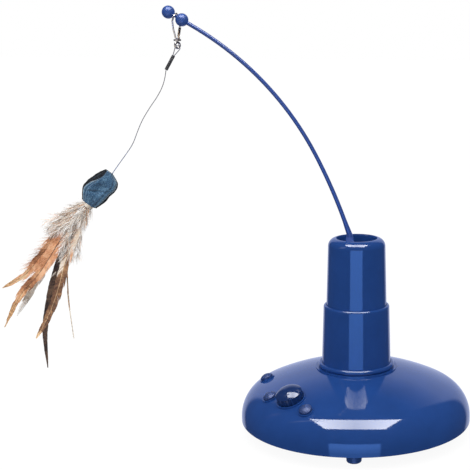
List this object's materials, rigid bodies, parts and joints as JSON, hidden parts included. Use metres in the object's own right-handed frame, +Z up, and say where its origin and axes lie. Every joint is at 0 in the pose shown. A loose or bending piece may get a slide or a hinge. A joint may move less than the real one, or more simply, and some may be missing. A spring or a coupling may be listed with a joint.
{
  "type": "electronic cat toy",
  "caption": "Domed stand with a motor column, controls and a bent wand; a snap hook at the tip carries a swinging feather lure.",
  "frame": {"origin": "on the column axis, at the level of the floor that the four feet stand on", "axes": "+Z up along the column; +X away from the side that the wand leans to, in the plane of the wand; -Y towards the front, the side of the middle foot in the picture"},
  "size_m": [0.4655, 0.23, 0.4207],
  "materials": {
    "blue_gloss": "glossy moulded plastic",
    "blue_plate": "moulded plastic with a light texture",
    "wand_blue": "glossy",
    "rotor_blue": "moulded",
    "gear_white": "moulded",
    "frame_black": "moulded",
    "bright_steel": "bright plated wire",
    "zinc_steel": "zinc plated",
    "bronze_bush": "sintered",
    "crimp_black": "black coated",
    "wire_grey": "fine stranded wire",
    "cell_jacket": "plain sleeve",
    "board_green": "lacquered board",
    "lead_red": "soft insulation",
    "felt_blue": "felted, slightly fuzzy",
    "felt_black": "felted",
    "thread_pale": "wound thread and glue",
    "feather_amber": "feather vane",
    "feather_brown": "feather vane",
    "down_grey": "loose down"
  },
  "bodies": {
    "base": {"base_shell": "blue_gloss", "base_plate": "blue_plate", "foot_front": "blue_gloss", "foot_right": "blue_gloss", "foot_back": "blue_gloss", "foot_left": "blue_gloss", "plate_screws": "zinc_steel", "battery_cells": "cell_jacket", "contact_plates": "zinc_steel", "contact_springs": "zinc_steel", "control_board": "board_green", "board_parts": "frame_black", "selector_switch": "frame_black", "button_switches": "frame_black", "column_lower": "blue_gloss", "column_upper": "blue_gloss", "column_screws": "zinc_steel", "gearbox_base": "frame_black", "gearbox_cover": "frame_black", "gear_pins": "zinc_steel", "drive_motor": "zinc_steel", "lower_bush": "bronze_bush", "upper_bush": "bronze_bush", "gearbox_screws": "zinc_steel", "wire_harness": "lead_red"},
    "rotor": {"output_shaft": "zinc_steel", "output_gear": "gear_white", "rotor_head": "rotor_blue", "rotor_screw": "zinc_steel"},
    "idler_a": {"idler_gear_a": "gear_white"},
    "idler_b": {"idler_gear_b": "gear_white"},
    "pinion": {"motor_pinion": "gear_white"},
    "wand": {"wand_ferrule": "wand_blue", "wand_rod": "wand_blue", "stop_ball": "wand_blue", "tip_ball": "wand_blue"},
    "hook": {"snap_hook": "bright_steel"},
    "gate": {"hook_gate": "bright_steel"},
    "swivel": {"swivel_eye": "bright_steel"},
    "lure": {"wire_loop": "wire_grey", "crimp_sleeve": "crimp_black", "leader_wire": "wire_grey", "bud_front": "felt_blue", "bud_back": "felt_blue", "bud_lining": "felt_black", "quill_binding": "thread_pale", "feather_rust": "feather_amber", "feather_amber": "feather_amber", "feather_smoke": "feather_brown", "feather_dark": "feather_brown", "feather_brown": "feather_brown", "feather_thin": "feather_brown", "down_left": "down_grey", "down_right": "down_grey"},
    "knob": {"selector_knob": "blue_gloss"},
    "key_right": {"button_right": "blue_gloss"},
    "key_left": {"button_left": "blue_gloss"},
    "key_back": {"button_back": "blue_gloss"},
    "door": {"battery_door": "blue_plate", "door_screw": "zinc_steel"}
  },
  "joints": [
    {"name": "rotor_spin", "type": "hinge", "parent": "base", "child": "rotor", "pos_m": [0, 0, 0.164], "axis": [0, 0, 1], "continuous": true},
    {"name": "idler_b_spin", "type": "hinge", "parent": "base", "child": "idler_b", "pos_m": [0.0135, 0, 0.137], "axis": [0, 0, 1], "continuous": true},
    {"name": "idler_a_spin", "type": "hinge", "parent": "base", "child": "idler_a", "pos_m": [0.01008, 0.0094, 0.137], "axis": [0, 0, 1], "continuous": true},
    {"name": "pinion_spin", "type": "hinge", "parent": "base", "child": "pinion", "pos_m": [0.00142, 0.0144, 0.133], "axis": [0, 0, 1], "continuous": true},
    {"name": "wand_pull", "type": "slide", "parent": "rotor", "child": "wand", "axis": [0, 0, 1], "range_m": [0, 0.014]},
    {"name": "hook_swing", "type": "hinge", "parent": "wand", "child": "hook", "pos_m": [-0.17368, 0, 0.41084], "axis": [-0.8704, 0, 0.4924], "range_deg": [-40, 40]},
    {"name": "gate_open", "type": "hinge", "parent": "hook", "child": "gate", "pos_m": [-0.17148, 0.0025, 0.39004], "axis": [1, 0, 0], "range_deg": [0, 18], "stiffness_Nm_per_rad": 0.0001, "springref_deg": -5.73},
    {"name": "swivel_spin", "type": "hinge", "parent": "hook", "child": "swivel", "pos_m": [-0.17208, 0, 0.38744], "axis": [0, 0, 1], "range_deg": [-110, 110]},
    {"name": "lure_swing", "type": "hinge", "parent": "swivel", "child": "lure", "pos_m": [-0.17208, 0, 0.38064], "axis": [0, 1, 0], "range_deg": [-33, 45]},
    {"name": "knob_turn", "type": "hinge", "parent": "base", "child": "knob", "pos_m": [-0.06152, -0.06152, 0.05119], "axis": [-0.2796, -0.2796, 0.9185], "range_deg": [0, 135]},
    {"name": "button_right_press", "type": "slide", "parent": "base", "child": "key_right", "axis": [0.2078, 0.3811, -0.9009], "range_m": [0, 0.0012], "stiffness_N_per_m": 800, "springref_m": -0.001},
    {"name": "button_left_press", "type": "slide", "parent": "base", "child": "key_left", "axis": [0.3754, 0.2115, -0.9024], "range_m": [0, 0.0012], "stiffness_N_per_m": 800, "springref_m": -0.001},
    {"name": "button_back_press", "type": "slide", "parent": "base", "child": "key_back", "axis": [0.4099, -0.0287, -0.9117], "range_m": [0, 0.0012], "stiffness_N_per_m": 800, "springref_m": -0.001},
    {"name": "door_drop", "type": "slide", "parent": "base", "child": "door", "axis": [0, 0, -1], "range_m": [0, 0.009]}
  ],
  "couplings": [
    {"joint": "idler_b_spin", "follows": "rotor_spin", "ratio": -4.4},
    {"joint": "idler_a_spin", "follows": "rotor_spin", "ratio": 13.2},
    {"joint": "pinion_spin", "follows": "rotor_spin", "ratio": -39.6}
  ]
}
